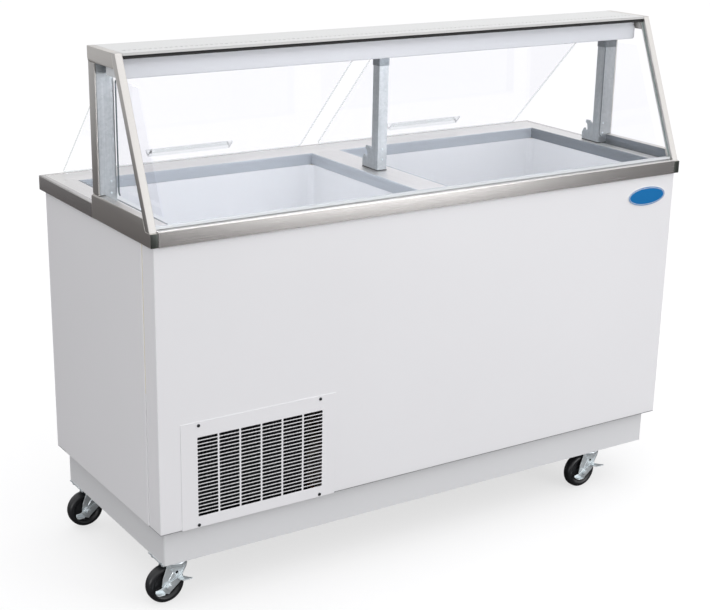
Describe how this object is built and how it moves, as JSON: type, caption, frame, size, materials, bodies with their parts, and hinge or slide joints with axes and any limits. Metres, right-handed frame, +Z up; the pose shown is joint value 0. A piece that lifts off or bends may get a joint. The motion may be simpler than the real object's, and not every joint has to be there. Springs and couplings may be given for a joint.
{
  "type": "ice cream dipping cabinet",
  "caption": "Long painted chest on swivel casters with refrigerated wells under a sloped glass sneeze guard, clear rear flip-up lids and a louvred vent.",
  "frame": {"origin": "on the floor under the middle of the counter", "axes": "+X along the cabinet towards the customer's right, -Y towards the customer, +Z up"},
  "size_m": [1.7, 0.6976, 1.4115],
  "materials": {
    "white_paint": "satin",
    "light_grey_paint": "satin",
    "counter_plastic": "satin",
    "brushed_stainless": "satin",
    "galvanised_steel": "matte",
    "zinc_plate": "satin",
    "liner_white": "satin",
    "breaker_grey": "satin",
    "foam": "matte",
    "copper_tube": "satin",
    "clear_glass": "gloss",
    "clear_acrylic": "gloss",
    "black_rubber": "matte",
    "black_wheel": "satin",
    "lamp_diffuser": "satin",
    "badge_blue": "gloss",
    "black_enamel": "satin",
    "fan_plastic": "satin",
    "fin_aluminium": "matte"
  },
  "bodies": {
    "cabinet": {"base_tray": "light_grey_paint", "cabinet_shell": "white_paint", "foam_left": "foam", "foam_right": "foam", "liner_left": "liner_white", "liner_right": "liner_white", "evaporator_left": "copper_tube", "evaporator_right": "copper_tube", "counter_top": "counter_plastic", "counter_band": "brushed_stainless", "breaker_left": "breaker_grey", "breaker_right": "breaker_grey", "end_frame_left": "brushed_stainless", "end_frame_right": "brushed_stainless", "canopy": "light_grey_paint", "glass_gasket": "black_rubber", "glass_channel": "light_grey_paint", "front_glass": "clear_glass", "end_glass_left": "clear_glass", "end_glass_right": "clear_glass", "post_left": "galvanised_steel", "post_centre": "galvanised_steel", "post_right": "galvanised_steel", "light_housing": "light_grey_paint", "lamp_tube": "lamp_diffuser", "hinge_rod_left": "zinc_plate", "hinge_rod_right": "zinc_plate", "vent_panel": "white_paint", "rear_vent_panel": "white_paint", "condenser_coil": "fin_aluminium", "fan_shroud": "black_enamel", "fan_motor": "black_enamel", "compressor": "black_enamel", "liquid_line": "copper_tube", "control_box": "black_enamel", "power_inlet": "black_enamel", "badge": "badge_blue", "drain_pipe": "black_enamel", "caster_plate_front_left": "zinc_plate", "caster_plate_front_right": "zinc_plate", "caster_plate_rear_left": "zinc_plate", "caster_plate_rear_right": "zinc_plate"},
    "lid_left": {"lid_left": "clear_acrylic", "lid_handle_left": "clear_acrylic"},
    "lid_right": {"lid_right": "clear_acrylic", "lid_handle_right": "clear_acrylic"},
    "fan": {"fan_blade": "fan_plastic"},
    "thermostat": {"thermostat_knob": "fan_plastic"},
    "fork_front_left": {"caster_fork_front_left": "zinc_plate"},
    "wheel_front_left": {"caster_wheel_front_left": "black_wheel"},
    "brake_front_left": {"caster_brake_front_left": "zinc_plate"},
    "fork_front_right": {"caster_fork_front_right": "zinc_plate"},
    "wheel_front_right": {"caster_wheel_front_right": "black_wheel"},
    "brake_front_right": {"caster_brake_front_right": "zinc_plate"},
    "fork_rear_left": {"caster_fork_rear_left": "zinc_plate"},
    "wheel_rear_left": {"caster_wheel_rear_left": "black_wheel"},
    "brake_rear_left": {"caster_brake_rear_left": "zinc_plate"},
    "fork_rear_right": {"caster_fork_rear_right": "zinc_plate"},
    "wheel_rear_right": {"caster_wheel_rear_right": "black_wheel"},
    "brake_rear_right": {"caster_brake_rear_right": "zinc_plate"}
  },
  "joints": [
    {"name": "lid_hinge_left", "type": "hinge", "parent": "cabinet", "child": "lid_left", "pos_m": [-0.4075, -0.006, 1.379], "axis": [1, 0, 0], "range_deg": [0, 142]},
    {"name": "lid_hinge_right", "type": "hinge", "parent": "cabinet", "child": "lid_right", "pos_m": [0.4075, -0.006, 1.379], "axis": [1, 0, 0], "range_deg": [0, 142]},
    {"name": "fan_spin", "type": "hinge", "parent": "cabinet", "child": "fan", "pos_m": [-0.555, -0.2335, 0.3], "axis": [0, 1, 0], "continuous": true},
    {"name": "thermostat_turn", "type": "hinge", "parent": "cabinet", "child": "thermostat", "pos_m": [-0.59, 0.3391, 0.61], "axis": [0, 1, 0], "range_deg": [-140, 140]},
    {"name": "swivel_front_left", "type": "hinge", "parent": "cabinet", "child": "fork_front_left", "pos_m": [-0.767, -0.266, 0.1178], "axis": [0, 0, 1], "continuous": true},
    {"name": "roll_front_left", "type": "hinge", "parent": "fork_front_left", "child": "wheel_front_left", "pos_m": [-0.797, -0.266, 0.052], "axis": [0, 1, 0], "continuous": true},
    {"name": "brake_front_left", "type": "hinge", "parent": "fork_front_left", "child": "brake_front_left", "pos_m": [-0.797, -0.266, 0.052], "axis": [0, 1, 0], "range_deg": [-16, 0]},
    {"name": "swivel_front_right", "type": "hinge", "parent": "cabinet", "child": "fork_front_right", "pos_m": [0.648, -0.266, 0.1178], "axis": [0, 0, 1], "continuous": true},
    {"name": "roll_front_right", "type": "hinge", "parent": "fork_front_right", "child": "wheel_front_right", "pos_m": [0.618, -0.266, 0.052], "axis": [0, 1, 0], "continuous": true},
    {"name": "brake_front_right", "type": "hinge", "parent": "fork_front_right", "child": "brake_front_right", "pos_m": [0.618, -0.266, 0.052], "axis": [0, 1, 0], "range_deg": [-16, 0]},
    {"name": "swivel_rear_left", "type": "hinge", "parent": "cabinet", "child": "fork_rear_left", "pos_m": [-0.767, 0.254, 0.1178], "axis": [0, 0, 1], "continuous": true},
    {"name": "roll_rear_left", "type": "hinge", "parent": "fork_rear_left", "child": "wheel_rear_left", "pos_m": [-0.797, 0.254, 0.052], "axis": [0, 1, 0], "continuous": true},
    {"name": "brake_rear_left", "type": "hinge", "parent": "fork_rear_left", "child": "brake_rear_left", "pos_m": [-0.797, 0.254, 0.052], "axis": [0, 1, 0], "range_deg": [-16, 0]},
    {"name": "swivel_rear_right", "type": "hinge", "parent": "cabinet", "child": "fork_rear_right", "pos_m": [0.648, 0.254, 0.1178], "axis": [0, 0, 1], "continuous": true},
    {"name": "roll_rear_right", "type": "hinge", "parent": "fork_rear_right", "child": "wheel_rear_right", "pos_m": [0.618, 0.254, 0.052], "axis": [0, 1, 0], "continuous": true},
    {"name": "brake_rear_right", "type": "hinge", "parent": "fork_rear_right", "child": "brake_rear_right", "pos_m": [0.618, 0.254, 0.052], "axis": [0, 1, 0], "range_deg": [-16, 0]}
  ]
}
